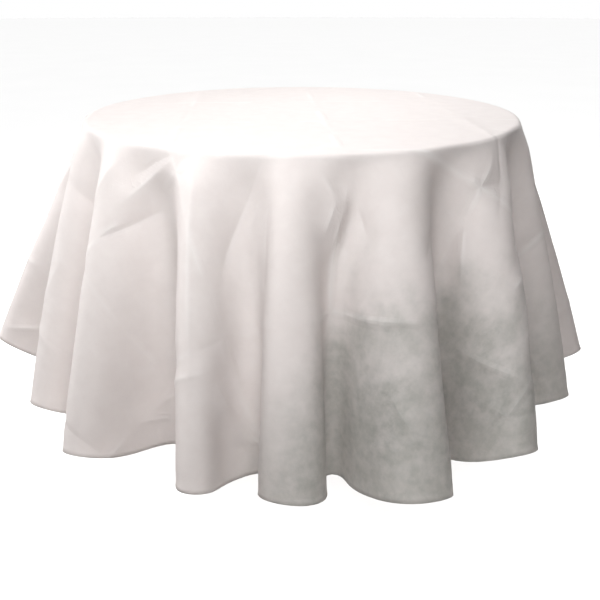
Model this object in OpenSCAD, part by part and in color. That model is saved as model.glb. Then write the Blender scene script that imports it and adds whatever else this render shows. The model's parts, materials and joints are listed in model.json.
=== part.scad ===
// Round tablecloth draped in deep flutes over a round folding table.
// Origin: on the floor under the middle of the table. +Z is up, -Y is the front, millimetres.
// Frame a folds from +X, frame b from -X. The cloth stands clear of the table on every side.

/* [Table] */
// Height of the table top above the floor
table_h = 740; // [720:1:760]
// Diameter of the table over its edge band
table_d = 1100; // [1080:1:1120]
// Thickness of the plywood top
top_t = 18; // [16:1:24]
// Height of the battens under the top
batten_h = 22; // [16:1:24]

/* [Leg frames] */
// Outer diameter of the leg tube
tube_d = 25.4; // [22:0.1:26]
// Wall of the leg tube
tube_wall = 1.5; // [1:0.1:2.5]
// Distance of each pivot from the table's middle, along X
pivot_x = 360; // [350:1:370]
// Distance of each leg from the table's middle, along Y
leg_y = 290; // [280:1:300]
// Radius of the bend between a leg and its pivot tube, on the tube's centre line
bend_r = 60; // [50:1:70]
// Distance of pivot a below the underside of the top
drop_a = 40; // [38:1:42]
// How much lower pivot b sits, so that the folded frames lie one under the other
stack = 32; // [30:1:34]

/* [Folding stays] */
// Distance of the cross brace below its pivot
brace_drop = 250; // [240:1:260]
// Distance of the stay's fixed pin from the frame's pivot, along X
anchor_x = 300; // [290:1:310]
// Offset of the stay's pins from the plane of the leg frame
stay_offset = 20; // [19:0.5:22]
// Width of a stay link
link_w = 14; // [10:0.5:15]
// Thickness of a stay link
link_t = 3; // [2:0.1:3.2]

/* [Tablecloth] */
// Diameter of the cloth laid flat
cloth_d = 2400; // [2300:10:2440]
// Thickness of the cloth's solid
cloth_t = 1.2; // [1:0.1:2]
// How deep the flutes are, as a share of the full drape
flute = 1; // [0.6:0.05:1]

/* [Hidden] */
$fn = 64;

// Cuts run past their faces by this much
eps = 1;

// Table top
under = table_h - top_t;
band_t = 3;
band_round = 3;
top_r = table_d / 2 - band_t;
batten_w = 60;
batten_len = 760;
batten_y = 130;
batten_screw_x = [-300, 0, 300];

// Leg frames
tube_r = tube_d / 2;
foot_t = 6;
foot_wall = 3;
foot_h = 36;
foot_round = 2;
brace_r = 9.5;
brace_wall = 1.2;
pivot_a = under - drop_a;
pivot_b = pivot_a - stack;

// Brackets that hold the pivot tubes, and the spacer blocks above those of frame b
bracket_y = 190;
bracket_w = 24;
bracket_wall = 5;
flange_x = 78;
flange_t = 4;
running_gap = 0.05;
spacer_x = 90;
spacer_y = 40;
screw_r = 2;
screw_head_r = 4;
screw_head_h = 2.4;
screw_grip = 12;
bracket_screw_x = 30;

// Stays: the two links are straight when the legs stand, and lie along each other when folded
link_gap = 0.4;
stay_span = norm([anchor_x - stay_offset, brace_drop + stay_offset]);
upper_len = (stay_span + anchor_x - brace_drop) / 2;
lower_len = (stay_span - anchor_x + brace_drop) / 2;
stay_angle = atan2(brace_drop + stay_offset, anchor_x - stay_offset);
rivet_r = 3;
rivet_head_r = 5;
rivet_head_h = 1.5;
ear_t = 3;
ear_r = 8;
anchor_flange_x = 50;
anchor_flange_y = 30;
anchor_screw_x = 18;
anchor_screw_y = -8;

// Tablecloth: its wall follows the rim, then falls in straight lines of one length to the hem
air = 0.3;
around = 144;
corner_r = table_d / 2 - band_round;
corner_z = table_h - band_round;
inner_bend = band_round + air;
outer_bend = inner_bend + cloth_t;
skirt_len = (cloth_d - table_d) / 2 - outer_bend;
// Angles of the points round the rim, how far down the skirt each ring lies, and how soon the
// flutes open below the rim
RIM_ARC = [90, 60, 30, 0];
RINGS = [0.07, 0.2, 0.4, 0.65, 1];
shoulder = 0.8;
mean_reach = 200;
// The hem by compass angle from the front, counted towards +X: [angle, reach beyond the rim].
// Ridges and valleys take turns, and the last point is the first one a full turn on.
HEM = [
    [-73, 285], [-62, 140], [-50, 245], [-41, 140], [-33, 290], [-24, 110], [-15, 280], [-8, 160],
    [0, 275], [5, 130], [14, 330], [23, 150], [31, 305], [41, 140], [52, 235], [62, 140],
    [73, 250], [83, 130], [93, 255], [104, 125], [114, 265], [125, 140], [135, 285], [145, 130],
    [155, 270], [166, 140], [176, 300], [187, 130], [197, 280], [208, 140], [218, 270], [229, 130],
    [239, 290], [250, 140], [261, 255], [273, 140], [287, 285]
];

// ---- Tablecloth ----

function ease(t) = (1 - cos(180 * t)) / 2;

// Reach of the hem beyond the rim at a compass angle from the first of HEM to the last
function hem_reach(angle) =
    let (
        k = max([for (i = [0 : len(HEM) - 2]) if (HEM[i][0] <= angle) i]),
        from = HEM[k],
        to = HEM[k + 1],
        share = ease((angle - from[0]) / (to[0] - from[0]))
    )
    mean_reach + flute * (from[1] + (to[1] - from[1]) * share - mean_reach);

function compass(angle, radius, z) = [radius * sin(angle), -radius * cos(angle), z];

// One side of the cloth at one compass angle, round the rim by its bend and down to the hem
function drape_line(angle, bend) =
    let (reach = hem_reach(angle), fall = sqrt(skirt_len * skirt_len - reach * reach))
    [
        for (a = RIM_ARC) compass(angle, corner_r + bend * cos(a), corner_z + bend * sin(a)),
        for (t = RINGS) compass(angle, corner_r + bend + reach * pow(t, shoulder), corner_z - fall * t)
    ];

function drape_side(bend) = [for (i = [0 : around - 1]) each drape_line(HEM[0][0] + i * 360 / around, bend)];

module tablecloth() {
    rows = len(RIM_ARC) + len(RINGS);
    outer = drape_side(outer_bend);
    inner = drape_side(inner_bend);
    start = len(outer);
    steps = [for (i = [0 : around - 1]) [i * rows, ((i + 1) % around) * rows]];
    faces = concat(
        [[for (s = steps) s[0]]],
        [[for (i = [around - 1 : -1 : 0]) start + i * rows]],
        [for (s = steps, j = [0 : rows - 2]) each [
            [s[0] + j, s[0] + j + 1, s[1] + j + 1],
            [s[0] + j, s[1] + j + 1, s[1] + j],
            [start + s[0] + j, start + s[1] + j + 1, start + s[0] + j + 1],
            [start + s[0] + j, start + s[1] + j, start + s[1] + j + 1]
        ]],
        [for (s = steps) each [
            [s[0] + rows - 1, start + s[0] + rows - 1, start + s[1] + rows - 1],
            [s[0] + rows - 1, start + s[1] + rows - 1, s[1] + rows - 1]
        ]]
    );
    color("white") polyhedron(points = concat(outer, inner), faces = faces);
}

// ---- Shared shapes ----

// A round bar or hole along Y, centred on a point
module bar_y(r, length) {
    rotate([90, 0, 0]) cylinder(r = r, h = length, center = true);
}

// A flat round-ended link in the XZ plane between two pins, with a hole at each
module link_plate(length, hole_a, hole_b) {
    rotate([90, 0, 0]) linear_extrude(link_t) difference() {
        union() {
            translate([0, -link_w / 2]) square([length, link_w]);
            circle(d = link_w);
            translate([length, 0]) circle(d = link_w);
        }
        circle(r = hole_a);
        translate([length, 0]) circle(r = hole_b);
    }
}

// A pan-head wood screw under a face at z = 0, pointing up
module screw(plate) {
    cylinder(r = screw_r, h = plate + screw_grip);
    translate([0, 0, -screw_head_h]) rotate_extrude() difference() {
        union() {
            translate([0, screw_head_h / 2]) square([screw_head_r, screw_head_h / 2]);
            intersection() {
                translate([0, screw_head_h]) scale([1, screw_head_h / screw_head_r]) circle(r = screw_head_r);
                square([screw_head_r, screw_head_h]);
            }
        }
        square([0.9, 1]);
    }
}

// The far side of the table is the near side mirrored
module side(name) {
    mirror([name == "b" ? 1 : 0, 0, 0]) children();
}

// Places of the screws in the underside of the top, as [x, y] on side a
bracket_screw_places = [for (y = [-bracket_y, bracket_y], x = [-1, 1]) [pivot_x + x * bracket_screw_x, y]];
anchor_screw_places = [for (x = [-1, 1]) [pivot_x - anchor_x + x * anchor_screw_x, anchor_screw_y]];
batten_screw_places = [for (x = batten_screw_x, y = [-batten_y, batten_y]) [x, y]];

module screw_holes(places, z, depth) {
    for (p = places) translate([p[0], p[1], z]) cylinder(r = screw_r, h = depth);
}

// ---- Table top ----

module tabletop() {
    color("burlywood") difference() {
        translate([0, 0, under]) cylinder(r = top_r, h = top_t, $fn = 180);
        screw_holes(bracket_screw_places, under - eps, screw_grip + eps);
        screw_holes(anchor_screw_places, under - eps, screw_grip + eps);
        screw_holes(batten_screw_places, under - eps, screw_grip + eps);
        side("b") screw_holes(bracket_screw_places, under - eps, screw_grip + eps);
        side("b") screw_holes(anchor_screw_places, under - eps, screw_grip + eps);
    }
}

module edge_band() {
    outer = table_d / 2;
    color("dimgray") translate([0, 0, under]) rotate_extrude($fn = 180) intersection() {
        translate([top_r, 0]) square([band_t, top_t]);
        union() {
            square([outer - band_round, top_t]);
            square([outer, top_t - band_round]);
            translate([outer - band_round, top_t - band_round]) circle(r = band_round);
        }
    }
}

module batten(y) {
    color("tan") difference() {
        translate([-batten_len / 2, y - batten_w / 2, under - batten_h]) cube([batten_len, batten_w, batten_h]);
        screw_holes(batten_screw_places, under - batten_h - eps, batten_h + 2 * eps);
        for (end = [-1, 1]) translate([end * batten_len / 2, y, under - batten_h]) rotate([0, 45, 0])
            cube([batten_h, batten_w + eps, batten_h], center = true);
    }
}
module batten_front() { batten(-batten_y); }
module batten_back() { batten(batten_y); }

module batten_screws() {
    color("silver") for (p = batten_screw_places) translate([p[0], p[1], under - batten_h]) screw(batten_h);
}

// ---- Spacer blocks over the brackets of frame b ----

module spacer_block(x, y, size, places) {
    color("tan") side("b") difference() {
        translate([x - size[0] / 2, y - size[1] / 2, under - stack]) cube([size[0], size[1], stack]);
        screw_holes(places, under - stack - eps, stack + 2 * eps);
    }
}
module spacer_b_front() { spacer_block(pivot_x, -bracket_y, [spacer_x, spacer_y], bracket_screw_places); }
module spacer_b_back() { spacer_block(pivot_x, bracket_y, [spacer_x, spacer_y], bracket_screw_places); }
module spacer_b_stay() {
    spacer_block(pivot_x - anchor_x, 0, [anchor_flange_x + 10, spacer_y], anchor_screw_places);
}

// ---- Pivot brackets: a saddle round the pivot tube, under a screwed flange ----

module pivot_bracket(name, y, seat, pivot) {
    shell_r = tube_r + bracket_wall;
    color("slategray") side(name) difference() {
        union() {
            translate([pivot_x - flange_x / 2, y - bracket_w / 2, seat - flange_t])
                cube([flange_x, bracket_w, flange_t]);
            translate([pivot_x - shell_r, y - bracket_w / 2, pivot])
                cube([2 * shell_r, bracket_w, seat - flange_t - pivot]);
            translate([pivot_x, y, pivot]) bar_y(shell_r, bracket_w);
        }
        translate([pivot_x, y, pivot]) bar_y(tube_r + running_gap, bracket_w + 2 * eps);
        screw_holes(bracket_screw_places, seat - flange_t - eps, flange_t + 2 * eps);
    }
}
module pivot_bracket_a_front() { pivot_bracket("a", -bracket_y, under, pivot_a); }
module pivot_bracket_a_back() { pivot_bracket("a", bracket_y, under, pivot_a); }
module pivot_bracket_b_front() { pivot_bracket("b", -bracket_y, under - stack, pivot_b); }
module pivot_bracket_b_back() { pivot_bracket("b", bracket_y, under - stack, pivot_b); }

module bracket_screws(name, seat) {
    color("silver") side(name) for (p = bracket_screw_places)
        translate([p[0], p[1], seat - flange_t]) screw(flange_t + under - seat);
}
module bracket_screws_a() { bracket_screws("a", under); }
module bracket_screws_b() { bracket_screws("b", under - stack); }

// ---- Stay anchors: one hanging ear under a screwed flange ----

module at_anchor(pivot) {
    translate([pivot_x - anchor_x, 0, pivot + stay_offset]) children();
}

module stay_anchor(name, seat, pivot) {
    ear_y = link_gap + link_t + air;
    rise = seat - flange_t - pivot - stay_offset;
    color("slategray") side(name) difference() {
        union() {
            translate([pivot_x - anchor_x - anchor_flange_x / 2, ear_y + ear_t - anchor_flange_y, seat - flange_t])
                cube([anchor_flange_x, anchor_flange_y, flange_t]);
            at_anchor(pivot) {
                translate([-ear_r, ear_y, 0]) cube([2 * ear_r, ear_t, rise]);
                translate([0, ear_y + ear_t / 2, 0]) bar_y(ear_r, ear_t);
            }
        }
        at_anchor(pivot) translate([0, ear_y + ear_t / 2, 0]) bar_y(rivet_r, ear_t + 2 * eps);
        screw_holes(anchor_screw_places, seat - flange_t - eps, flange_t + 2 * eps);
    }
}
module stay_anchor_a() { stay_anchor("a", under, pivot_a); }
module stay_anchor_b() { stay_anchor("b", under - stack, pivot_b); }

module anchor_screws(name, seat) {
    color("silver") side(name) for (p = anchor_screw_places)
        translate([p[0], p[1], seat - flange_t]) screw(flange_t + under - seat);
}
module anchor_screws_a() { anchor_screws("a", under); }
module anchor_screws_b() { anchor_screws("b", under - stack); }

module anchor_rivet(name, pivot) {
    back = link_gap + link_t + air + ear_t;
    front = link_gap - air;
    color("silver") side(name) at_anchor(pivot) {
        translate([0, (back + front) / 2, 0]) bar_y(rivet_r - running_gap, back - front);
        translate([0, back + rivet_head_h / 2, 0]) bar_y(rivet_head_r, rivet_head_h);
        translate([0, front - rivet_head_h / 2, 0]) bar_y(rivet_head_r, rivet_head_h);
    }
}
module anchor_rivet_a() { anchor_rivet("a", pivot_a); }
module anchor_rivet_b() { anchor_rivet("b", pivot_b); }

// ---- Leg frames: one bent tube each, with a cross brace ----

// The bent tube's path as a solid of one radius: pivot tube, two bends, two legs
module leg_path(r, pivot, foot_z) {
    translate([pivot_x, 0, pivot]) bar_y(r, 2 * (leg_y - bend_r));
    for (m = [0, 1]) mirror([0, m, 0]) {
        translate([pivot_x, leg_y - bend_r, pivot - bend_r]) rotate([90, 0, 90])
            rotate_extrude(angle = 90) translate([bend_r, 0]) circle(r = r);
        translate([pivot_x, leg_y, foot_z]) cylinder(r = r, h = pivot - bend_r - foot_z);
    }
}

module leg_tube(name, pivot) {
    color("gray") side(name) difference() {
        leg_path(tube_r, pivot, foot_t);
        leg_path(tube_r - tube_wall, pivot, foot_t - eps);
    }
}
module leg_tube_a() { leg_tube("a", pivot_a); }
module leg_tube_b() { leg_tube("b", pivot_b); }

module cross_brace(name, pivot) {
    color("gray") side(name) difference() {
        translate([pivot_x, 0, pivot - brace_drop]) bar_y(brace_r, 2 * leg_y);
        translate([pivot_x, 0, pivot - brace_drop]) bar_y(brace_r - brace_wall, 2 * leg_y + eps);
        for (y = [-leg_y, leg_y]) translate([pivot_x, y, pivot - brace_drop])
            cylinder(r = tube_r, h = 4 * brace_r, center = true);
    }
}
module cross_brace_a() { cross_brace("a", pivot_a); }
module cross_brace_b() { cross_brace("b", pivot_b); }

module foot_caps(name) {
    cap_r = tube_r + foot_wall;
    color("black") side(name) for (y = [-leg_y, leg_y]) translate([pivot_x, y, 0]) rotate_extrude() difference() {
        union() {
            square([cap_r - foot_round, foot_h]);
            translate([0, foot_round]) square([cap_r, foot_h - foot_round]);
            translate([cap_r - foot_round, foot_round]) circle(r = foot_round);
        }
        translate([0, foot_t]) square([tube_r, foot_h]);
    }
}
module foot_caps_a() { foot_caps("a"); }
module foot_caps_b() { foot_caps("b"); }

// ---- Folding stays ----

module at_tab(pivot) {
    translate([pivot_x - stay_offset, 0, pivot - brace_drop]) children();
}

// The tab welded to the cross brace, in the plane beside the lower link
module stay_tab(name, pivot) {
    tab_y = -link_gap - link_t - air - ear_t / 2;
    color("gray") side(name) difference() {
        at_tab(pivot) {
            translate([stay_offset / 2, tab_y, 0]) cube([stay_offset, ear_t, 2 * ear_r - 4], center = true);
            translate([0, tab_y, 0]) bar_y(ear_r, ear_t);
        }
        at_tab(pivot) translate([0, tab_y, 0]) bar_y(rivet_r, ear_t + 2 * eps);
        translate([pivot_x, 0, pivot - brace_drop]) bar_y(brace_r, leg_y);
    }
}
module stay_tab_a() { stay_tab("a", pivot_a); }
module stay_tab_b() { stay_tab("b", pivot_b); }

// The tab's rivet ends flush in the lower link, so the upper link can fold across it
module tab_rivet(name, pivot) {
    back = -link_gap - link_t - air - ear_t;
    front = -link_gap;
    color("silver") side(name) at_tab(pivot) {
        translate([0, (back + front) / 2, 0]) bar_y(rivet_r - running_gap, front - back);
        translate([0, back - rivet_head_h / 2, 0]) bar_y(rivet_head_r, rivet_head_h);
    }
}
module tab_rivet_a() { tab_rivet("a", pivot_a); }
module tab_rivet_b() { tab_rivet("b", pivot_b); }

// Turns a link or rivet drawn along +X from the anchor's pin to lie along the standing stay
module along_stay(pivot) {
    at_anchor(pivot) rotate([0, stay_angle, 0]) children();
}

module upper_link(name, pivot) {
    color("silver") side(name) along_stay(pivot) translate([0, link_gap + link_t, 0])
        link_plate(upper_len, rivet_r, rivet_r);
}
module upper_link_a() { upper_link("a", pivot_a); }
module upper_link_b() { upper_link("b", pivot_b); }

module lower_link(name, pivot) {
    color("silver") side(name) along_stay(pivot) translate([upper_len, -link_gap, 0])
        link_plate(lower_len, rivet_r, rivet_r);
}
module lower_link_a() { lower_link("a", pivot_a); }
module lower_link_b() { lower_link("b", pivot_b); }

// Half of the knee's rivet: its shank fills one link and its head lies on that link's outer face
module knee_rivet(name, pivot, facing) {
    color("silver") side(name) along_stay(pivot) translate([upper_len, 0, 0]) {
        translate([0, facing * (link_gap + link_t / 2), 0]) bar_y(rivet_r, link_t);
        translate([0, facing * (link_gap + link_t + rivet_head_h / 2), 0]) bar_y(rivet_head_r, rivet_head_h);
    }
}
module knee_rivet_a_upper() { knee_rivet("a", pivot_a, 1); }
module knee_rivet_a_lower() { knee_rivet("a", pivot_a, -1); }
module knee_rivet_b_upper() { knee_rivet("b", pivot_b, 1); }
module knee_rivet_b_lower() { knee_rivet("b", pivot_b, -1); }

tablecloth();
tabletop();
edge_band();
batten_front();
batten_back();
batten_screws();
spacer_b_front();
spacer_b_back();
spacer_b_stay();
pivot_bracket_a_front();
pivot_bracket_a_back();
pivot_bracket_b_front();
pivot_bracket_b_back();
bracket_screws_a();
bracket_screws_b();
stay_anchor_a();
stay_anchor_b();
anchor_screws_a();
anchor_screws_b();
leg_tube_a();
leg_tube_b();
cross_brace_a();
cross_brace_b();
foot_caps_a();
foot_caps_b();
stay_tab_a();
stay_tab_b();
tab_rivet_a();
tab_rivet_b();
upper_link_a();
upper_link_b();
anchor_rivet_a();
anchor_rivet_b();
lower_link_a();
lower_link_b();
knee_rivet_a_upper();
knee_rivet_a_lower();
knee_rivet_b_upper();
knee_rivet_b_lower();
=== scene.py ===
"""Looks for a round folding table under a white non-woven cloth.

The table's hard parts are the CAD nodes of the frame, with better materials. The cloth is
draped here: a fold plan is turned into a start shape of the right length everywhere, and a
small cloth solver lets it hang over the table edge. Metres, +Z up, -Y is the front.
"""

import json
import math

import bpy
import numpy as np
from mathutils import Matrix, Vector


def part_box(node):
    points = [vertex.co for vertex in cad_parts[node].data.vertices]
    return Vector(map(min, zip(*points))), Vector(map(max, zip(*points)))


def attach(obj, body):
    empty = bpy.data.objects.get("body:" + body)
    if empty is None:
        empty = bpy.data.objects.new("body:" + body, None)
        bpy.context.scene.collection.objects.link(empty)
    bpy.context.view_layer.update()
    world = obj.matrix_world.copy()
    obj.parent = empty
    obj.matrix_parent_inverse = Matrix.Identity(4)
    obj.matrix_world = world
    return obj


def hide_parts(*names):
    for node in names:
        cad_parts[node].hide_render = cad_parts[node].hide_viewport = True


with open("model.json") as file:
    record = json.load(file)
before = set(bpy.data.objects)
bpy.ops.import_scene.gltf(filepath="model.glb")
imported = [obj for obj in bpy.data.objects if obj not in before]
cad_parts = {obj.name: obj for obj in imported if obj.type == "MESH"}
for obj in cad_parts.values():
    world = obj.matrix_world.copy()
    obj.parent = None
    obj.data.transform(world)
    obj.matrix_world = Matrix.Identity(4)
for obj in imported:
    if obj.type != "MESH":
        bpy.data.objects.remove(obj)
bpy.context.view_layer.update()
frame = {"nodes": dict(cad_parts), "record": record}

# ---------------------------------------------------------------- table and cloth sizes
BAND_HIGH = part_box("edge_band")[1]  # the edge band's highest corner
TABLE_R = BAND_HIGH[0]  # radius over the edge band
TABLE_TOP = BAND_HIGH[2]
HALF_CLOTH = 0.0002  # half the cloth's thickness
CLOTH_R = 1.20  # radius of the cloth when flat
CLOTH_TOP = TABLE_TOP + HALF_CLOTH + 0.0003  # the cloth's mid surface where it lies flat
EDGE_R = 0.007  # the cloth is too stiff to follow the table's 3 mm rounding
CORNER_R = TABLE_R - 0.0045  # where the flat part ends and the bend begins
CORNER_Z = CLOTH_TOP - EDGE_R
RIM_PLACE = CORNER_R + EDGE_R * math.pi / 4  # where the flat cloth bends over the edge

# Fold plan: the hem seen from above. Each knot is (compass angle in degrees from the front,
# positive to the right; distance from the table's axis in mm).
FRONT_HEM = [
    (-76.5, 800), (-74, 832), (-71.5, 832), (-69.6, 790), (-68.2, 742), (-66, 690),
    (-62, 662), (-57.5, 665), (-54, 705), (-52.2, 755), (-50.5, 795), (-47.8, 812),
    (-45, 808), (-43.4, 770), (-42.4, 720), (-40.5, 676), (-37.8, 672), (-36.2, 725),
    (-35.7, 800), (-34.4, 858), (-32.3, 860), (-30.6, 830), (-29.5, 770), (-28.3, 700),
    (-25.5, 655), (-22, 662), (-19.8, 730), (-18.2, 800), (-16.5, 830), (-14, 829),
    (-12.6, 795), (-12.2, 758), (-10.8, 730), (-8.6, 706), (-6, 700), (-4.6, 712),
    (-5.8, 738), (-7.1, 768), (-5.1, 802), (-1.8, 824), (1.2, 824), (2.9, 795),
    (3.5, 745), (4.0, 690), (5, 688), (6.6, 736), (8.6, 797), (10.7, 850), (13, 882),
    (16, 886), (18.3, 878), (19.0, 830), (18.6, 760), (18.8, 700), (20.4, 672),
    (22.5, 688), (23.9, 745), (25, 800), (26.8, 858), (29.3, 876), (31.8, 868),
    (33.6, 810), (34.2, 740), (36.5, 672), (40.5, 664), (43.8, 700), (45.6, 752),
    (48.5, 786), (51.5, 786), (53.2, 720), (57, 664), (62, 664), (65.5, 705), (67, 750),
    (69, 778), (72, 775), (75, 725), (80, 680),
]
# The unseen back, in the manner of the front: (angle of a ridge or a valley, distance in mm).
BACK_FOLDS = [
    (93, 805), (104, 675), (114, 815), (125, 690), (135, 835), (145, 680), (155, 820),
    (166, 690), (176, 848), (187, 680), (197, 830), (208, 690), (218, 820), (229, 680),
    (239, 840), (250, 690), (261, 800), (272, 690),
]
RIDGE_MM = 750  # a back knot further out than this is a ridge
RIDGE_GROWTH = 0.15  # how far a ridge moves out for a valley that moves in by 1
TURN_POWER = 0.8  # below 1, a ridge that leans sideways does so mostly near the table
MEAN_REACH = 0.755  # m, the middle distance of the hem from the axis
HEM_ERROR = 0.001  # m, how closely the hem's length has to match the flat rim
LEAST_REACH = 0.4  # m, no ring further down comes nearer to the axis than this
MOST_TUCK = 0.08  # m, how far a valley may be tucked in


def hem_knots():
    """The fold plan's knots as points in the plane, all the way round."""
    knots = list(FRONT_HEM)
    for angle, reach in BACK_FOLDS:
        if reach > RIDGE_MM:
            knots += [(angle - 4.2, reach - 55), (angle - 1.6, reach - 4),
                      (angle + 1.6, reach - 4), (angle + 4.2, reach - 55)]
        else:
            knots += [(angle - 2.2, reach + 4), (angle + 2.2, reach + 4)]
    a = np.radians([k[0] for k in knots])
    r = np.array([k[1] for k in knots]) / 1000
    return np.stack([r * np.sin(a), -r * np.cos(a)], 1)


def closed_curve(points, per_span=110):
    """A centripetal Catmull-Rom curve through the points, closed."""
    out = []
    count = len(points)
    for i in range(count):
        p = [points[(i + k) % count] for k in (-1, 0, 1, 2)]
        t = np.concatenate([[0.0], np.cumsum([np.linalg.norm(p[k + 1] - p[k]) ** 0.5
                                              for k in range(3)])])
        u = np.linspace(t[1], t[2], per_span, endpoint=False)[:, None]
        a = [((t[k + 1] - u) * p[k] + (u - t[k]) * p[k + 1]) / (t[k + 1] - t[k])
             for k in range(3)]
        b = [((t[k + 2] - u) * a[k] + (u - t[k]) * a[k + 1]) / (t[k + 2] - t[k])
             for k in range(2)]
        out.append(((t[2] - u) * b[0] + (u - t[1]) * b[1]) / (t[2] - t[1]))
    return np.concatenate(out)


def hem_curve(spokes):
    """The hem in space, one point per spoke of the cloth, as long as the flat cloth's rim."""
    curve = closed_curve(hem_knots())
    reach = np.linalg.norm(curve, axis=1)
    across = curve / reach[:, None]
    depth, drop = 1.0, CLOTH_R - TABLE_R
    want = 2 * math.pi * CLOTH_R
    behind = np.clip((across[:, 1] + 0.1) / 0.3, 0, 1)  # only the unseen folds give way
    for _ in range(60):
        r = MEAN_REACH + (reach - MEAN_REACH) * (1 + behind * (depth - 1))
        z = CLOTH_TOP - np.sqrt(np.maximum(drop**2 - (r - TABLE_R) ** 2, 0))
        line = np.column_stack([across * r[:, None], z])
        step = np.linalg.norm(np.roll(line, -1, 0) - line, axis=1)
        if abs(step.sum() - want) < HEM_ERROR:
            break
        depth *= 1 + 1.5 * (want - step.sum()) / want
    along = 2 * math.pi * np.concatenate([[0], np.cumsum(step)[:-1]]) / step.sum()
    compass = np.unwrap(np.arctan2(line[:, 0], -line[:, 1]))
    phi = along + np.mean(compass - along)
    wanted = np.linspace(0, 2 * math.pi, spokes, endpoint=False)
    turns = np.concatenate([phi - 2 * math.pi, phi, phi + 2 * math.pi])
    return wanted, np.stack([np.interp(wanted, turns, np.tile(line[:, k], 3))
                             for k in range(3)], 1)


def hung_below(last, flat, step):
    """A ring over the plan points flat, each a step of cloth from its point of the last."""
    gone = np.linalg.norm(flat - last[:, :2], axis=1)
    z = last[:, 2] - np.sqrt(np.maximum(step**2 - gone**2, (step / 4) ** 2))
    return np.column_stack([flat, z])


def next_ring(last, r, turn, step):
    """One more ring of the start shape, and its length."""
    ring = hung_below(last, np.stack([r * np.sin(turn), -r * np.cos(turn)], 1), step)
    return ring, np.linalg.norm(np.roll(ring, -1, 0) - ring, axis=1).sum()


def evenly(ring, last, step):
    """The ring's points shifted along it until they are evenly spaced."""
    spokes = len(ring)
    closed = np.concatenate([ring, ring[:1]])
    along = np.concatenate([[0], np.cumsum(np.linalg.norm(np.diff(closed, axis=0), axis=1))])
    total = along[-1]
    even = np.arange(spokes) * total / spokes
    even += np.mean(along[:-1] - even)
    flat = np.stack([np.interp(even, along, closed[:, k], period=total) for k in (0, 1)], 1)
    return hung_below(last, flat, step)


def start_shape(spokes, rings):
    """Rings of the right length: straight ridges, and valleys tucked in as far as needed."""
    phi, hem = hem_curve(spokes)
    hem_r = np.hypot(hem[:, 0], hem[:, 1])
    turn = np.unwrap(np.arctan2(hem[:, 0], -hem[:, 1])) - phi
    turn -= turn.mean()
    valley = np.clip((hem_r.mean() - hem_r) / (hem_r.mean() - hem_r.min()), -RIDGE_GROWTH, 1)
    around = np.stack([np.sin(phi), -np.cos(phi)], 1)
    shape = np.zeros((len(rings), spokes, 3))
    for j, s in enumerate(rings):
        if s <= CORNER_R:
            shape[j] = np.column_stack([around * s, np.full(spokes, CLOTH_TOP)])
            continue
        fall = max((s - TABLE_R) / (CLOTH_R - TABLE_R), 0.001)
        straight = TABLE_R + (hem_r - TABLE_R) * fall
        least = TABLE_R + 0.001 if s < TABLE_R + 0.02 else LEAST_REACH
        low, high = -0.02, min(MOST_TUCK, 0.3 * (s - TABLE_R) + 0.002)
        for _ in range(30):
            tuck = (low + high) / 2
            r = np.maximum(straight - tuck * valley, least)
            ring, length = next_ring(shape[j - 1], r,
                                     phi + turn * fall**TURN_POWER, s - rings[j - 1])
            if length < 2 * math.pi * s:
                low = tuck
            else:
                high = tuck
        shape[j] = evenly(ring, shape[j - 1], s - rings[j - 1])
    return shape


# ---------------------------------------------------------------- creases of the flat cloth
# The cloth came folded in a packet, so a grid of old folds crosses it. Places on the flat
# cloth are in metres from its middle, y to the back.
FOLD_PITCH = 0.34
FOLD_TURN = math.radians(3.4)
FOLD_SHIFT = (0.045, -0.175)
CREASE_WIDTH = 0.008
CREASED_FROM, CREASE_FADE = 0.57, 0.03  # creases begin at this radius, and fade in over 0.03
PACKET_FOLD = 30.0  # rest curvature along an old fold, 1/m
WRINKLE_FOLD = 60.0
RIM_FOLD = 95.0  # the table's edge has creased the cloth too
FULL_MARK = 45.0  # a crease of this curvature shows at full height in the material
MOST_MARK = 0.9  # and none shows higher than this
MARK_REACH = 0.03  # m, how far beside a crease its distance is carried
# Creases seen in front: start, end, and how strong and which way (+ is a ridge).
MARKS = [
    (-0.43, -0.515, -0.225, -0.503, 100),
    (-0.37, -0.485, -0.25, -0.500, -50),
    (-0.228, -0.587, -0.324, -0.861, 45),
    (-0.087, -0.568, -0.20, -0.74, -40),
    (-0.069, -0.626, -0.105, -0.80, -35),
    (0.094, -0.613, 0.078, -0.716, 90),
    (0.106, -0.645, 0.105, -0.735, -70),
    (0.115, -0.630, 0.154, -0.693, -60),
    (0.412, -0.502, 0.432, -0.662, -80),
    (0.432, -0.576, 0.498, -0.664, 90),
    (0.411, -0.490, 0.460, -0.460, -60),
    (0.168, -0.843, 0.292, -0.830, 60),
    (0.605, -0.771, 0.773, -0.740, 60),
    (-0.322, -0.915, -0.621, -0.908, 40),
    (-0.293, -0.967, -0.259, -1.110, 60),
    (0.283, -0.970, 0.350, -1.032, 40),
    (-0.264, -1.078, -0.20, -1.142, 50),
]


def grid_place(x, y):
    """Where a point of the flat cloth is in the packet's grid of folds."""
    c, s = math.cos(FOLD_TURN), math.sin(FOLD_TURN)
    return ((c * x + s * y - FOLD_SHIFT[0]) / FOLD_PITCH,
            (-s * x + c * y - FOLD_SHIFT[1]) / FOLD_PITCH)


def from_crease(x, y, x0, y0, x1, y1):
    """Distance along a straight crease from its middle, across it, and its half length."""
    half = math.hypot(x1 - x0, y1 - y0) / 2
    ux, uy = (x1 - x0) / (2 * half), (y1 - y0) / (2 * half)
    dx, dy = x - (x0 + x1) / 2, y - (y0 + y1) / 2
    return ux * dx + uy * dy, ux * dy - uy * dx, half


def crease(x, y, *ends):
    """1 on the straight crease between two places, fading beside it and at its ends."""
    along, across, half = from_crease(x, y, *ends)
    return np.exp(-((across / CREASE_WIDTH) ** 2) - (along / (half * 1.1)) ** 4)


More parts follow.
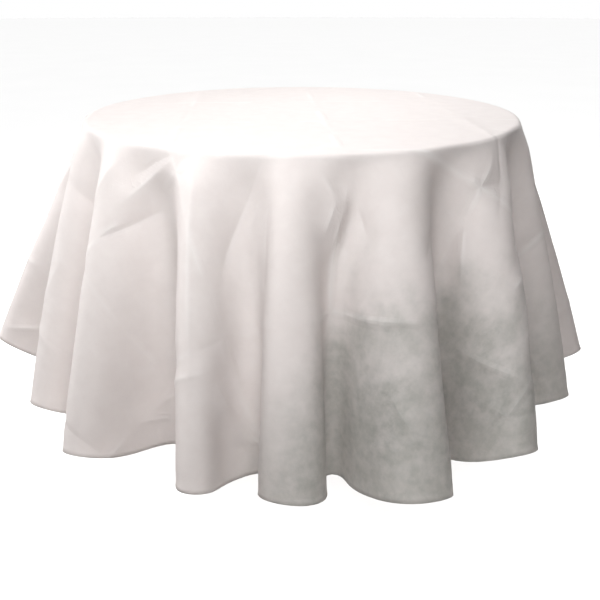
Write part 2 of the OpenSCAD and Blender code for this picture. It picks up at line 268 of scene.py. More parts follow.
def loose_marks(count, seed=11):
    """Short creases in all directions, as in MARKS."""
    rng = np.random.default_rng(seed)
    marks = []
    for _ in range(count):
        r, at = CLOTH_R * math.sqrt(rng.uniform(0.2, 0.98)), rng.uniform(0, 2 * math.pi)
        half, turn = rng.uniform(0.02, 0.10), rng.uniform(0, math.pi)
        size = rng.choice([-1, 1]) * rng.uniform(0.3, 1.0) * WRINKLE_FOLD
        mx, my = r * math.sin(at), -r * math.cos(at)
        dx, dy = half * math.cos(turn), half * math.sin(turn)
        marks.append((mx - dx, my - dy, mx + dx, my + dy, size))
    return marks


LOOSE_MARKS = loose_marks(80)


def crease_places(flat):
    """For each place: distance across the nearest single crease, and its strength there."""
    x, y = flat[..., 0], flat[..., 1]
    nearest, second = np.full(x.shape, 1.0), np.full(x.shape, 1.0)
    strength = np.zeros(x.shape)
    for x0, y0, x1, y1, size in MARKS + LOOSE_MARKS:
        along, across, half = from_crease(x, y, x0, y0, x1, y1)
        reach = 1.3 * half
        among = np.abs(along) < reach
        here = (np.abs(across) < np.abs(nearest)) & among
        second = np.where(here, np.abs(nearest),
                          np.where(among, np.minimum(second, np.abs(across)), second))
        fade = np.clip((MARK_REACH - np.abs(across)) / 0.01, 0, 1)
        fade = fade * np.clip(1 - (np.abs(along) / reach) ** 2, 0, 1)
        nearest = np.where(here, across, nearest)
        strength = np.where(here, fade * np.clip(size / FULL_MARK, -MOST_MARK, MOST_MARK),
                            strength)
    strength *= np.clip((second - np.abs(nearest)) / 0.02, 0, 1)  # where two meet
    return np.stack([nearest, strength, np.zeros(x.shape)], -1)


def crease_field(flat):
    """Rest curvature (1/m) at places of the flat cloth: packet folds, marks, wrinkles."""
    x, y = flat[..., 0], flat[..., 1]
    u, v = grid_place(x, y)
    field = np.zeros_like(x)
    for one, other, swaps in ((u, v, 0), (v, u, 1)):
        line = np.round(one)
        turns = line + swaps * np.floor(other) + 1
        sign = np.where(turns % 2 == 0, 1.0, -1.0)
        kept = 0.75 + 0.25 * np.sin(2.3 * line + 4.1 * other)
        off = (one - line) * FOLD_PITCH
        field += PACKET_FOLD * sign * kept * np.exp(-((off / CREASE_WIDTH) ** 2))
    for x0, y0, x1, y1, size in MARKS + LOOSE_MARKS:
        field += size * crease(x, y, x0, y0, x1, y1)
    return field


def rim_crease(rings, spokes):
    """Rest curvature of the old bend over the table's edge."""
    line = RIM_FOLD * np.exp(-(((rings - RIM_PLACE) / CREASE_WIDTH) ** 2))
    return np.tile(line[:, None], (1, spokes))


# ---------------------------------------------------------------- cloth solver
GRAVITY = 1.0  # slow motion: the shape at rest only depends on stiffness over weight
BEND_LENGTH = 0.050  # how far a strip of the cloth juts out before it droops
TIME_STEP = 1 / 500
DRAG = 4.0
TOP_SPEED = 1.0
KICK_EVERY = 5  # steps between new directions for the creases' push
HOLD_PASSES = 2  # of the thread lengths and the table in each step
SHEAR_SHARE = 0.02  # how much of a change in a diagonal's length is undone in a pass
COARSE_SPOKES = 288
HELD_R = 0.50  # the cloth inside this radius stays where it lies
TOP_DEPTH, SIDE_DEPTH = 0.05, 0.03  # m, how far into the top and below its edge it acts
PULL_FROM = 0.60  # the pull to the fold plan grows from this radius to the hem
FIRST_PULL = 0.02
SETTLE_PULL = 0.004  # how strongly the hem is kept to the fold plan
FULL_STEPS, QUICK_STEPS = (500, 600, 400), (100, 50, 10)  # first, settling, with creases
RIM_RINGS, SKIRT_RINGS = (0.53, 0.58, 6), (0.60, CLOTH_R, 31)  # from, to, how many


def plate_matrices(spokes, s, dt, stiffness, free):
    """Implicit bending of a disc, mode by mode: (step, push of the rest curvature)."""
    count = len(s)
    first, second = np.zeros((count, count)), np.zeros((count, count))
    for j in range(1, count - 1):
        a, b = s[j] - s[j - 1], s[j + 1] - s[j]
        first[j, j - 1:j + 2] = -b / (a * (a + b)), (b - a) / (a * b), a / (b * (a + b))
        second[j, j - 1:j + 2] = 2 / (a * (a + b)), -2 / (a * b), 2 / (b * (a + b))
    first[-1, -2:] = -1 / (s[-1] - s[-2]), 1 / (s[-1] - s[-2])
    mass = np.gradient(s) * s
    turn = 2 * math.pi / spokes
    f, p = np.where(free)[0], np.where(~free)[0]
    steps, pushes = [], []
    for mode in range(spokes // 2 + 1):
        wave = (2 - 2 * math.cos(mode * turn)) / turn**2
        lap = second + first / s[:, None] - np.diag(wave / s**2)
        lap[0] = 0
        pull = lap.T * mass
        a = np.diag(mass) + dt * dt * stiffness * (pull @ lap)
        inverse = np.linalg.inv(a[np.ix_(f, f)])
        step, push = np.eye(count), np.zeros((count, count))
        step[np.ix_(f, f)] = inverse * mass[f]
        step[np.ix_(f, p)] = -inverse @ a[np.ix_(f, p)]
        push[f] = dt * dt * stiffness * inverse @ pull[f]
        steps.append(step)
        pushes.append(push)
    return np.array(steps), np.array(pushes)


def by_mode(matrices, field):
    """The matrices applied to the rings of each circular mode of a (ring, spoke, 3) field."""
    modes = np.fft.rfft(field, axis=1).transpose(1, 0, 2)
    both = np.concatenate([modes.real, modes.imag], 2)
    both = np.matmul(matrices, both)
    modes = both[..., :3] + 1j * both[..., 3:]
    return np.fft.irfft(modes.transpose(1, 0, 2), n=field.shape[1], axis=1)


def normals(p):
    """Outward unit normals of the cloth's mid surface."""
    around = np.roll(p, -1, 1) - np.roll(p, 1, 1)
    down = np.gradient(p, axis=0)
    n = np.cross(down, around)
    return n / np.maximum(np.linalg.norm(n, axis=-1, keepdims=True), 1e-12)


def stay_off_table(q):
    """Moves points out of the rounded disc of the tabletop, in place."""
    rho = np.hypot(q[..., 0], q[..., 1])
    z = q[..., 2]
    inside = (rho < CORNER_R) & (z < CLOTH_TOP) & (z > CLOTH_TOP - TOP_DEPTH)
    z[inside] = CLOTH_TOP
    dr, dz = rho - CORNER_R, z - CORNER_Z
    away = np.hypot(dr, dz)
    near = (dr >= 0) & (dz > 0) & (away < EDGE_R)
    grow = EDGE_R / np.maximum(away[near], 1e-9)
    z[near] = CORNER_Z + dz[near] * grow
    scale = (CORNER_R + dr[near] * grow) / rho[near]
    q[..., 0][near] *= scale
    q[..., 1][near] *= scale
    side = (z <= CORNER_Z) & (z > CORNER_Z - SIDE_DEPTH) & (rho < CORNER_R + EDGE_R) & (rho > HELD_R)
    scale = (CORNER_R + EDGE_R) / rho[side]
    q[..., 0][side] *= scale
    q[..., 1][side] *= scale


def pull_pair(a, b, length, wa, wb, share=1.0):
    """Half corrections that bring two sets of points to their rest distance."""
    d = b - a
    now = np.sqrt((d * d).sum(-1, keepdims=True))
    c = d * ((now - length) * share / (np.maximum(now, 1e-9) * np.maximum(wa + wb, 1e-9)))
    return c * wa, c * wb


class Threads:
    """Keeps the cloth's lengths: along spokes, round rings and over both diagonals."""

    def __init__(self, rings, spokes, weight):
        turn = 2 * math.pi / spokes
        self.w = weight
        self.down = np.diff(rings)[:, None, None]
        self.round = (2 * rings * math.sin(turn / 2))[:, None, None]
        a, b = rings[:-1], rings[1:]
        self.diagonal = np.sqrt(a * a + b * b - 2 * a * b * math.cos(turn))[:, None, None]

    def between_rings(self, q, turn, lengths, share):
        for a in (0, 1):
            outer = q[a + 1::2]
            n = len(outer)
            ca, cb = pull_pair(q[a:-1:2][:n], np.roll(outer, turn, 1), lengths[a::2][:n],
                               self.w[a:-1:2][:n], self.w[a + 1::2], share)
            q[a:-1:2][:n] += ca
            q[a + 1::2] -= np.roll(cb, -turn, 1)

    def hold(self, q):
        self.between_rings(q, 0, self.down, 1.0)
        ca, cb = pull_pair(q[:, 0::2], q[:, 1::2], self.round, self.w, self.w)
        q[:, 0::2] += ca
        q[:, 1::2] -= cb
        ca, cb = pull_pair(q[:, 1::2], np.roll(q[:, 0::2], -1, 1), self.round, self.w, self.w)
        q[:, 1::2] += ca
        q[:, 0::2] -= np.roll(cb, 1, 1)
        self.between_rings(q, -1, self.diagonal, SHEAR_SHARE)
        self.between_rings(q, 1, self.diagonal, SHEAR_SHARE)


def relax(p, rings, steps, plan, pull, creases):
    """Lets the cloth hang for a number of time steps."""
    spokes = p.shape[1]
    free = rings > HELD_R
    weight = free.astype(float)[:, None, None]
    threads = Threads(rings, spokes, weight)
    bend, push = plate_matrices(spokes, rings, TIME_STEP, GRAVITY * BEND_LENGTH**3, free)
    pull = pull[:, None, None] * weight
    speed = np.zeros_like(p)
    for step in range(steps):
        speed[..., 2] -= GRAVITY * TIME_STEP
        speed *= (1 - DRAG * TIME_STEP) * weight
        if step % KICK_EVERY == 0:
            kick = by_mode(push, -creases[..., None] * normals(p))
        q = by_mode(bend, p + speed * TIME_STEP) + kick
        q += (plan - q) * pull
        for _ in range(HOLD_PASSES):
            threads.hold(q)
            stay_off_table(q)
        q = p + (q - p) * weight
        speed = (q - p) / TIME_STEP
        size = np.sqrt((speed * speed).sum(-1, keepdims=True))
        speed *= np.minimum(1, TOP_SPEED / np.maximum(size, 1e-9))
        p = q
    return p


def finer(p, rings):
    """Twice the spokes and twice the rings, by four-point interpolation."""
    between = (9 * (p + np.roll(p, -1, 1)) - np.roll(p, 1, 1) - np.roll(p, -2, 1)) / 16
    wide = np.empty((p.shape[0], 2 * p.shape[1], 3))
    wide[:, 0::2], wide[:, 1::2] = p, between
    middle = (wide[1:] + wide[:-1]) / 2
    middle[1:-1] = (9 * (wide[1:-2] + wide[2:-1]) - wide[:-3] - wide[3:]) / 16
    tall = np.empty((2 * len(rings) - 1, wide.shape[1], 3))
    tall[0::2], tall[1::2] = wide, middle
    new_rings = np.interp(np.arange(len(tall)) / 2, np.arange(len(rings)), rings)
    return tall, new_rings


def flat_points(rings, spokes):
    """Where the cloth's points were when it lay flat."""
    phi = np.linspace(0, 2 * math.pi, spokes, endpoint=False)
    around = np.stack([np.sin(phi), -np.cos(phi)], 1)
    return rings[:, None, None] * around[None]


def plan_pull(rings):
    """How much of the pull to the fold plan each ring feels: none high up, all at the hem."""
    return np.clip((rings - PULL_FROM) / (CLOTH_R - PULL_FROM), 0, 1)


def drape():
    """The hanging part of the cloth: (points by ring and spoke, ring radii when flat)."""
    first, settle, last = FULL_STEPS
    rings = np.concatenate([[0.46, 0.48, 0.50, 0.515], np.linspace(*RIM_RINGS),
                            np.linspace(*SKIRT_RINGS)])
    plan = start_shape(COARSE_SPOKES, rings)
    rim = rim_crease(rings, COARSE_SPOKES)
    p = relax(plan, rings, first, plan, FIRST_PULL * plan_pull(rings), rim)
    p = relax(p, rings, settle, plan, SETTLE_PULL * plan_pull(rings), rim)
    p, fine = finer(p, rings)
    plan, _ = finer(plan, rings)
    creases = crease_field(flat_points(fine, p.shape[1]))
    creases *= np.clip((fine - CREASED_FROM) / CREASE_FADE, 0, 1)[:, None]
    creases += rim_crease(fine, p.shape[1])
    return relax(p, fine, last, plan, SETTLE_PULL * plan_pull(fine), creases), fine


# ---------------------------------------------------------------- cloth mesh
TOP_STEP = 0.012  # m, between the rings that lie flat
TOP_CLOSEST = 0.0045  # m, the spokes there are halved before they come closer than this
TOP_LIFT = 0.0024  # m, how far an old fold stands up from the table
TOP_LIFT_WIDTH = 0.016
EXTRA_RINGS = (0.53, 0.575)  # the rings between these get one more each, for a round rim


def top_rings(spokes, inner):
    """Rings of the part that lies flat, with fewer spokes nearer the middle."""
    rings = []
    radius = inner
    while radius > TOP_STEP * 1.5:
        radius -= TOP_STEP
        while spokes > 18 and spokes % 2 == 0 and 2 * math.pi * radius / spokes < TOP_CLOSEST:
            spokes //= 2
        rings.append((radius, spokes))
    return rings


def top_height(flat):
    """How far the packet folds lift the cloth off the table."""
    x, y = flat[..., 0], flat[..., 1]
    u, v = grid_place(x, y)
    lift = np.zeros_like(x)
    for one, other in ((u, v), (v, u)):
        off = np.abs(one - np.round(one)) * FOLD_PITCH
        uneven = 0.65 + 0.35 * np.sin(3.1 * other + 2.0 * np.round(one))
        lift += TOP_LIFT * uneven * np.exp(-off / TOP_LIFT_WIDTH)
    return lift


def hanging_faces(count, spokes):
    """Quads between the rings of the hanging part."""
    i = np.arange(spokes)
    j = (i + 1) % spokes
    faces = []
    for k in range(count - 1):
        a, b = k * spokes, (k + 1) * spokes
        faces += np.stack([a + i, b + i, b + j, a + j], 1).tolist()
    return faces


def joining_faces(start, n, outer_start, outer_count):
    """Faces between a ring of n points and the next one out, which has as many or more."""
    ratio = outer_count // n
    half = ratio // 2
    faces = []
    for k in range(n):
        inner = [start + k, start + (k + 1) % n]
        outer = [outer_start + (k * ratio + m) % outer_count for m in range(ratio + 1)]
        if ratio == 1:
            faces.append([inner[0], outer[0], outer[1], inner[1]])
        else:
            faces += [[inner[0], outer[m], outer[m + 1]] for m in range(half)]
            faces.append([inner[0], outer[half], inner[1]])
            faces += [[inner[1], outer[m], outer[m + 1]] for m in range(half, ratio)]
    return faces


def cloth_mesh(points, rings):
    """One sheet: fine rings outside, thinning rings on the table, and a centre point."""
    count, spokes = points.shape[:2]
    flat = flat_points(rings, spokes)
    points = points.copy()
    points[..., 2] += top_height(flat) * np.clip((TABLE_R - rings) / 0.03, 0, 1)[:, None]
    verts, flats = [points.reshape(-1, 3)], [flat.reshape(-1, 2)]
    faces = hanging_faces(count, spokes)
    outer_start, outer_count, total = 0, spokes, count * spokes
    for radius, n in top_rings(spokes, rings[0]):
        ring = flat_points(np.array([radius]), n)[0]
        verts.append(np.column_stack([ring, CLOTH_TOP + top_height(ring)]))
        flats.append(ring)
        faces += joining_faces(total, n, outer_start, outer_count)
        outer_start, outer_count = total, n
        total += n
    verts.append(np.array([[0, 0, CLOTH_TOP + float(top_height(np.zeros(2)))]]))
    flats.append(np.zeros((1, 2)))
    faces += [[total, outer_start + k, outer_start + (k + 1) % outer_count]
              for k in range(outer_count)]
    return np.concatenate(verts), faces, np.concatenate(flats)


def rounder_rim(points, rings):
    """One more ring between the close ones over the table's edge, lifted clear of it."""
    shape, radii = [points[0]], [rings[0]]
    for k in range(1, len(rings)):
        if EXTRA_RINGS[0] < rings[k] < EXTRA_RINGS[1]:
            between = (9 * (points[k] + points[k - 1]) - points[k - 2] - points[k + 1]) / 16
            stay_off_table(between)
            shape.append(between)
            radii.append((rings[k] + rings[k - 1]) / 2)
        shape.append(points[k])
        radii.append(rings[k])
    return np.array(shape), np.array(radii)


def build_cloth():
    """The draped sheet as an object whose points remember their places on the flat cloth."""
    points, rings = rounder_rim(*drape())
    verts, faces, flat = cloth_mesh(points, rings)
    mesh = bpy.data.meshes.new("cloth_sheet")
    mesh.from_pydata(verts.tolist(), [], faces)
    mesh.polygons.foreach_set("use_smooth", [True] * len(mesh.polygons))
    flat_3d = np.column_stack([flat, np.zeros(len(flat))])
    for name, values in (("flat_place", flat_3d), ("crease_place", crease_places(flat))):
        place = mesh.attributes.new(name, "FLOAT_VECTOR", "POINT")
        place.data.foreach_set("vector", values.ravel())
    sheet = bpy.data.objects.new("cloth_sheet", mesh)
    bpy.context.scene.collection.objects.link(sheet)
    thick = sheet.modifiers.new("thickness", "SOLIDIFY")
    thick.thickness = 2 * HALF_CLOTH
    thick.offset = 0
    return sheet


# ---------------------------------------------------------------- materials
PACKET_TENT, MARK_TENT = 0.012, 0.009  # m, half widths of the ridges of packet folds and marks
FOLD_HEIGHT = 0.0018  # m, of those ridges
LET_THROUGH = 0.34  # share of the light that the thin sheet lets through


class Finish:
    """A procedural material round one Principled shader."""

    def __init__(self, name, **sockets):
        self.material = bpy.data.materials.new(name)
        self.material.use_nodes = True
        self.tree = self.material.node_tree
        self.shader = self.tree.nodes["Principled BSDF"]
        self.out = self.tree.nodes["Material Output"]
        for key, value in sockets.items():
            self.shader.inputs[key.replace("_", " ")].default_value = value
        self.place = self.add("ShaderNodeTexCoord").outputs["Object"]

    def add(self, kind, inputs=None, **settings):
        """A node with its settings, and each input linked or set."""
        node = self.tree.nodes.new(kind)
        for key, value in settings.items():
            setattr(node, key, value)
        for key, value in (inputs or {}).items():
            if isinstance(value, bpy.types.NodeSocket):
                self.tree.links.new(value, node.inputs[key])
            else:
                node.inputs[key].default_value = value
        return node

    def stretched(self, scale):
        return self.add("ShaderNodeMapping", {"Vector": self.place,
                                              "Scale": scale}).outputs[0]

    def noise(self, scale, detail=3.0, rough=0.55, place=None, warp=0.0):
        return self.add("ShaderNodeTexNoise", {
            "Vector": place or self.place, "Scale": scale, "Detail": detail,
            "Roughness": rough, "Distortion": warp}).outputs["Fac"]

    def spread(self, value, low, high, to_low=0.0, to_high=1.0, smooth=False):
        node = self.add("ShaderNodeMapRange", {
            "Value": value, "From Min": low, "From Max": high, "To Min": to_low,
            "To Max": to_high})
        node.interpolation_type = "SMOOTHSTEP" if smooth else "LINEAR"
        return node.outputs[0]

    def math(self, kind, a, b=0.0):
        return self.add("ShaderNodeMath", {0: a, 1: b}, operation=kind).outputs[0]

    def mix(self, amount, a, b):
        """From colour a to colour b; the colour inputs of a Mix node are 6 and 7."""
        return self.add("ShaderNodeMix", {0: amount, 6: a, 7: b}, data_type="RGBA").outputs[2]

    def bump(self, height, strength, distance, under=None):
        inputs = {"Height": height, "Strength": strength, "Distance": distance}
        if under is not None:
            inputs["Normal"] = under
        return self.add("ShaderNodeBump", inputs).outputs[0]

    def set(self, socket, value):
        self.tree.links.new(value, self.shader.inputs[socket])


def rgb(r, g, b):
    return (r, g, b, 1.0)


def tent(m, off, width):
    """1 at no distance from a line, falling straight to 0 at width from it."""
    return m.spread(m.math("ABSOLUTE", off), 0.0, width, 1.0, 0.0)


def packet_tents(m, flat):
    """Height of the sharp ridges and grooves that the packet's folds leave."""
    turned = m.add("ShaderNodeMapping", {
        "Vector": flat, "Rotation": (0, 0, -FOLD_TURN),
        "Location": (-FOLD_SHIFT[0], -FOLD_SHIFT[1], 0)})
    parts = m.add("ShaderNodeSeparateXYZ", {0: turned.outputs[0]})
    lines = [tent(m, m.math("PINGPONG", parts.outputs[k], FOLD_PITCH / 2), PACKET_TENT)
             for k in (0, 1)]
    kept = m.spread(m.noise(5, 2, 0.5, flat), 0.40, 0.60, -0.5, 1.0)
    return m.math("MULTIPLY", m.math("MAXIMUM", *lines), kept)


def mark_tents(m):
    """The same for the single creases, whose place each point of the mesh carries."""
    parts = m.add("ShaderNodeSeparateXYZ", {0: m.add(
        "ShaderNodeAttribute", attribute_name="crease_place").outputs["Vector"]})
    return m.math("MULTIPLY", tent(m, parts.outputs[0], MARK_TENT), parts.outputs[1])


def painted_shade_cover(m, flat):
    """0 to 1: painted shade in blotches low in front and to the right: the shaded space under the
    table seen through the thin sheet, mottled as its density varies.
    """
    parts = m.add("ShaderNodeSeparateXYZ", {0: m.place})
    ragged = m.spread(m.noise(9, 4, 0.6, flat), 0.3, 0.7, -0.09, 0.09)
    shore = m.spread(parts.outputs[0], -0.14, 0.10, 0.30, 0.0)  # lower further left
    level = m.math("ADD", m.math("ADD", parts.outputs[2], ragged), shore)
    low = m.spread(level, 0.57, 0.30, smooth=True)
    right = m.spread(m.math("ADD", parts.outputs[0], ragged), -0.26, 0.04, smooth=True)
    front = m.spread(parts.outputs[1], -0.30, -0.55, smooth=True)
    side = m.spread(parts.outputs[0], 0.75, 0.55, smooth=True)
    area = m.math("MULTIPLY", m.math("MULTIPLY", low, right), m.math("MULTIPLY", front, side))
    patch = m.spread(m.noise(34, 4, 0.6, flat), 0.36, 0.60, 0.68, 1.0)
    return m.math("MULTIPLY", area, patch)


def cloth_finish():
    """Bonded fibre: cloudy density, fibres, pressed dots, a painted highlight on the creases'
    crests, and blotches of painted shade.
    """
    m = Finish("nonwoven_white", Roughness=0.72, Sheen_Weight=0.12, Sheen_Roughness=0.5)
    flat = m.add("ShaderNodeAttribute", attribute_name="flat_place").outputs["Vector"]
    cloud = m.noise(26, 5, 0.62, flat, 0.3)
    fibre = m.noise(420, 3, 0.7, flat, 1.5)
    white = m.mix(m.spread(cloud, 0.35, 0.68), rgb(0.835, 0.785, 0.772),
                  rgb(0.885, 0.840, 0.826))
    white = m.mix(m.spread(fibre, 0.35, 0.7, 0.0, 0.3), white, rgb(0.93, 0.89, 0.87))
    folds = m.math("ADD", packet_tents(m, flat), mark_tents(m))
    # painted highlight: the crests of the creases are made paler, as if they caught the light
    white = m.mix(m.spread(folds, 0.1, 0.9, 0.0, 0.6), white, rgb(0.97, 0.945, 0.93))
    # painted shade: dim grey standing in for the shaded space under the table seen through the sheet
    # low on the front right, mottled by the sheet's uneven density
    painted_shade_tone = m.mix(m.spread(m.noise(65, 4, 0.6, flat), 0.36, 0.66), rgb(0.41, 0.42, 0.39),
                   rgb(0.53, 0.52, 0.49))
    m.set("Base Color", m.mix(painted_shade_cover(m, flat), white, painted_shade_tone))
    m.set("Roughness", m.spread(fibre, 0.3, 0.7, 0.62, 0.8))
    dots = m.add("ShaderNodeTexVoronoi", {"Vector": flat, "Scale": 520.0,
                                          "Randomness": 0.25}).outputs["Distance"]
    pressed = m.spread(dots, 0.12, 0.42, 0.0, 1.0, True)
    tex = m.bump(folds, 1.0, FOLD_HEIGHT)
    tex = m.bump(m.noise(60, 4, 0.6, flat, 0.5), 0.25, 0.0012, tex)
    tex = m.bump(pressed, 0.25, 0.0002, tex)
    m.set("Normal", m.bump(fibre, 0.3, 0.0002, tex))
    see = m.add("ShaderNodeBsdfTranslucent", {"Color": rgb(0.85, 0.81, 0.79)})
    both = m.add("ShaderNodeMixShader", {0: LET_THROUGH, 1: m.shader.outputs[0],
                                         2: see.outputs[0]})
    m.tree.links.new(both.outputs[0], m.out.inputs["Surface"])
    return m.material


def wood_finish(name, light, dark, along):
    """Straight-grained wood; along is the axis of the grain."""
    m = Finish(name, Roughness=0.55)
    scale = [9.0] * 3
    scale[along] = 0.7
    grain = m.noise(6.0, 6, 0.6, m.stretched(scale), 1.2)
    scale = [190.0] * 3
    scale[along] = 4.0
    pores = m.noise(3.0, 4, 0.7, m.stretched(scale))
    colour = m.mix(m.spread(grain, 0.35, 0.66, smooth=True), dark, light)
    colour = m.mix(m.spread(pores, 0.55, 0.75, 0.0, 0.45), colour,
                   rgb(dark[0] * 0.6, dark[1] * 0.6, dark[2] * 0.6))
    m.set("Base Color", colour)
    m.set("Roughness", m.spread(grain, 0.3, 0.7, 0.48, 0.66))
    m.set("Normal", m.bump(pores, 0.4, 0.0004))
    return m.material


def metal_finish(name, colour, roughness, worn):
    """Bare or plated metal with fine scratches and dull patches."""
    m = Finish(name, Metallic=1.0, Roughness=roughness)
    patch = m.noise(70, 4, 0.6)
    fine = m.noise(900, 2, 0.6, m.stretched((1, 1, 0.08)))
    m.set("Base Color", m.mix(m.spread(patch, 0.45, 0.72), colour, worn))
    m.set("Roughness", m.spread(patch, 0.3, 0.7, roughness - 0.08, roughness + 0.14))
    m.set("Normal", m.bump(fine, 0.12, 0.0001))
    return m.material


def coat_finish(name, colour, pale, roughness, grain, depth):
    """Sprayed coating on steel: orange peel, colour drift and rubbed spots."""
    m = Finish(name, Roughness=roughness, Coat_Weight=0.25, Coat_Roughness=0.25)
    drift = m.noise(18, 4, 0.6)
    peel = m.noise(grain, 2, 0.5)
    rubbed = m.spread(m.noise(95, 5, 0.7), 0.66, 0.74)
    colour = m.mix(m.spread(drift, 0.35, 0.7), colour, pale)
    m.set("Base Color", m.mix(m.math("MULTIPLY", rubbed, 0.5), colour,
                              rgb(0.42, 0.41, 0.40)))
    m.set("Roughness", m.spread(drift, 0.3, 0.7, roughness - 0.06, roughness + 0.1))
    m.set("Normal", m.bump(peel, 0.5, depth))
    return m.material


def moulded_finish(name, colour, dusty, roughness):
    """Plastic or rubber with a fine moulded skin and dust."""
    m = Finish(name, Roughness=roughness)
    skin = m.noise(650, 3, 0.6)
    dust = m.noise(24, 5, 0.65)
    m.set("Base Color", m.mix(m.spread(dust, 0.45, 0.78, 0.0, 0.55), colour, dusty))
    m.set("Roughness", m.spread(dust, 0.3, 0.7, roughness - 0.05, roughness + 0.15))
    m.set("Normal", m.bump(skin, 0.35, 0.0002))
    return m.material


def plywood_finish():
    """Birch veneer with its grain along x, under a worn varnish."""
    m = Finish("plywood_birch", Roughness=0.5)
    grain = m.noise(5.0, 6, 0.6, m.stretched((1.2, 9.0, 9.0)), 1.6)
    pores = m.noise(3.0, 4, 0.7, m.stretched((5.0, 210.0, 210.0)))
    face = m.mix(m.spread(grain, 0.35, 0.66, smooth=True), rgb(0.56, 0.40, 0.23),
                 rgb(0.72, 0.56, 0.37))
    face = m.mix(m.spread(pores, 0.55, 0.75, 0.0, 0.35), face, rgb(0.36, 0.23, 0.12))
    m.set("Base Color", face)
    m.set("Roughness", m.spread(grain, 0.3, 0.7, 0.44, 0.62))
    m.set("Normal", m.bump(pores, 0.35, 0.0003))
    return m.material


def floor_finish():
    """A plain pale floor, barely uneven."""
    m = Finish("studio_floor", Roughness=0.85)
    soft = m.noise(1.1, 3, 0.5)
    m.set("Base Color", m.mix(soft, rgb(0.86, 0.86, 0.86), rgb(0.89, 0.89, 0.888)))
    return m.material


NODE_FINISH = {
    "plywood": plywood_finish(),
    "edging": moulded_finish("edging_black", rgb(0.035, 0.033, 0.032),
                             rgb(0.16, 0.155, 0.15), 0.42),
    "batten_wood": wood_finish("pine_batten", rgb(0.68, 0.50, 0.30), rgb(0.50, 0.32, 0.16), 0),
    "zinc_screw": metal_finish("zinc_screw", rgb(0.62, 0.61, 0.58), 0.34,
                               rgb(0.45, 0.44, 0.41)),
    "zinc_plate": metal_finish("zinc_plate", rgb(0.60, 0.60, 0.59), 0.38,
                               rgb(0.44, 0.43, 0.41)),
    "bracket_paint": coat_finish("bracket_coat", rgb(0.03, 0.03, 0.032),
                                 rgb(0.05, 0.05, 0.052), 0.45, 700, 0.0002),
    "frame_paint": coat_finish("hammered_grey", rgb(0.16, 0.165, 0.17),
                               rgb(0.22, 0.225, 0.23), 0.38, 420, 0.0005),
    "foot_rubber": moulded_finish("foot_rubber", rgb(0.025, 0.025, 0.025),
                                  rgb(0.17, 0.165, 0.155), 0.62),
}


def finish_nodes():
    """Gives each CAD node the finish of its material slot."""
    for part in frame["record"]["subparts"]:
        finish = NODE_FINISH.get(part["material_slot"])
        if finish:
            mesh = frame["nodes"][part["node"]].data
            mesh.materials.clear()
            mesh.materials.append(finish)


finish_nodes()

# ---------------------------------------------------------------- the cloth as a piece
cloth = build_cloth()
cloth.data.materials.append(cloth_finish())
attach(cloth, "cloth")
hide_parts("tablecloth")


# ---------------------------------------------------------------- floor, light and camera
MIDDLE = (0, 0, 0.7)
# Lights: name, place, diameter (m) and power (W). All point at the middle of the table.
LIGHTS = [
    ("key", (-0.45, -1.00, 1.35), 0.6, 5.9),
    ("front", (0.00, -2.80, 1.30), 2.5, 17.5),
    ("left", (-2.20, 0.30, 1.40), 1.6, 49),
    ("right", (0.10, -1.50, 1.50), 0.9, 6.8),
    ("over", (0.30, 0.30, 1.90), 0.8, 8),
    ("over_left", (-0.20, 0.10, 1.90), 1.0, 5.6),
    ("back", (0.70, 2.20, 1.80), 2.0, 22),
    ("side", (2.40, 1.50, 1.20), 1.6, 7),
]
CAMERA_PLACE = (-0.004, -1.76, CLOTH_TOP + 0.255)
CAMERA_TILT = math.radians(90 - 24.54)  # it looks 24.54 degrees below level
CAMERA_LENS, CAMERA_SENSOR = 38.8, 36  # mm


def floor_disc(radius=60.0, sides=96):
    """The studio floor: it lights no other surface."""
    mesh = bpy.data.meshes.new("floor")
    turn = [2 * math.pi * k / sides for k in range(sides)]
    mesh.from_pydata([(radius * math.cos(t), radius * math.sin(t), 0) for t in turn], [],
                     [list(range(sides))])
    obj = bpy.data.objects.new("floor", mesh)
    bpy.context.scene.collection.objects.link(obj)
    mesh.materials.append(floor_finish())
    obj.visible_diffuse = False
    return obj


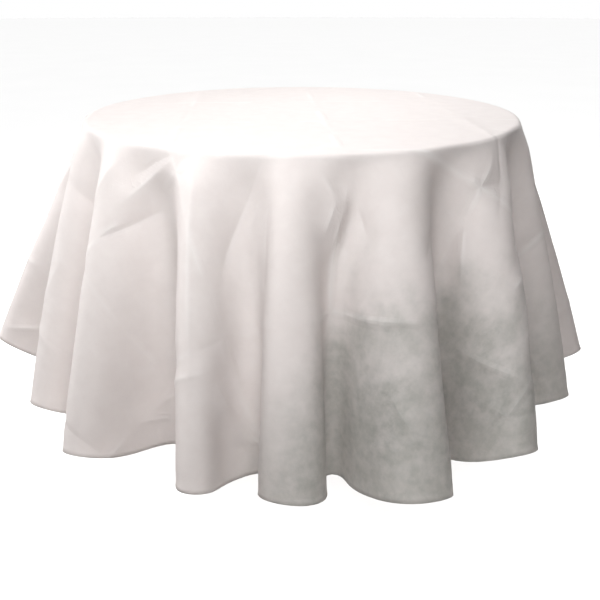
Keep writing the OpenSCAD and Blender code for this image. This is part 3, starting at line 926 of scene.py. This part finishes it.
def area_light(name, place, size, power):
    """A round soft light, itself unseen."""
    data = bpy.data.lights.new(name, "AREA")
    data.shape = "DISK"
    data.size = size
    data.energy = power
    obj = bpy.data.objects.new(name, data)
    bpy.context.scene.collection.objects.link(obj)
    obj.visible_camera = False
    obj.location = place
    aim = [t - p for t, p in zip(MIDDLE, place)]
    obj.rotation_euler = (math.atan2(math.hypot(aim[0], aim[1]), -aim[2]), 0,
                          math.atan2(aim[1], aim[0]) - math.pi / 2)


def floor_sun(floor, strength):
    """A soft overhead light for the floor alone, so that it stays pale all over."""
    data = bpy.data.lights.new("floor_sun", "SUN")
    data.energy = strength
    data.angle = math.radians(40)
    obj = bpy.data.objects.new("floor_sun", data)
    bpy.context.scene.collection.objects.link(obj)
    only = bpy.data.collections.new("floor_only")
    only.objects.link(floor)
    obj.light_linking.receiver_collection = only
    obj.light_linking.blocker_collection = only


def world_light(above, below):
    """A white surround: seen white, and as a light stronger from above than from below."""
    world = bpy.data.worlds.new("studio")
    bpy.context.scene.world = world
    world.use_nodes = True
    nodes, links = world.node_tree.nodes, world.node_tree.links
    way = nodes.new("ShaderNodeSeparateXYZ")
    links.new(nodes.new("ShaderNodeTexCoord").outputs["Generated"], way.inputs[0])
    level = nodes.new("ShaderNodeMapRange")
    for key, value in (("From Min", -0.3), ("From Max", 0.5), ("To Min", below),
                       ("To Max", above)):
        level.inputs[key].default_value = value
    links.new(way.outputs[2], level.inputs["Value"])
    shown = nodes.new("ShaderNodeMix")
    links.new(nodes.new("ShaderNodeLightPath").outputs["Is Camera Ray"], shown.inputs[0])
    links.new(level.outputs[0], shown.inputs[2])
    shown.inputs[3].default_value = 1.0
    links.new(shown.outputs[0], nodes["Background"].inputs["Strength"])
    nodes["Background"].inputs["Color"].default_value = (1, 1, 1, 1)


def camera():
    """In front and above the top, looking down at the near folds."""
    data = bpy.data.cameras.new("camera")
    data.sensor_width = CAMERA_SENSOR
    data.lens = CAMERA_LENS
    obj = bpy.data.objects.new("camera", data)
    bpy.context.scene.collection.objects.link(obj)
    obj.location = CAMERA_PLACE
    obj.rotation_euler = (CAMERA_TILT, 0, 0)
    bpy.context.scene.camera = obj


floor = floor_disc()
for light in LIGHTS:
    area_light(*light)
world_light(0.15, 0.03)
floor_sun(floor, 3.2)
bpy.context.scene.view_settings.view_transform = "Standard"
camera()
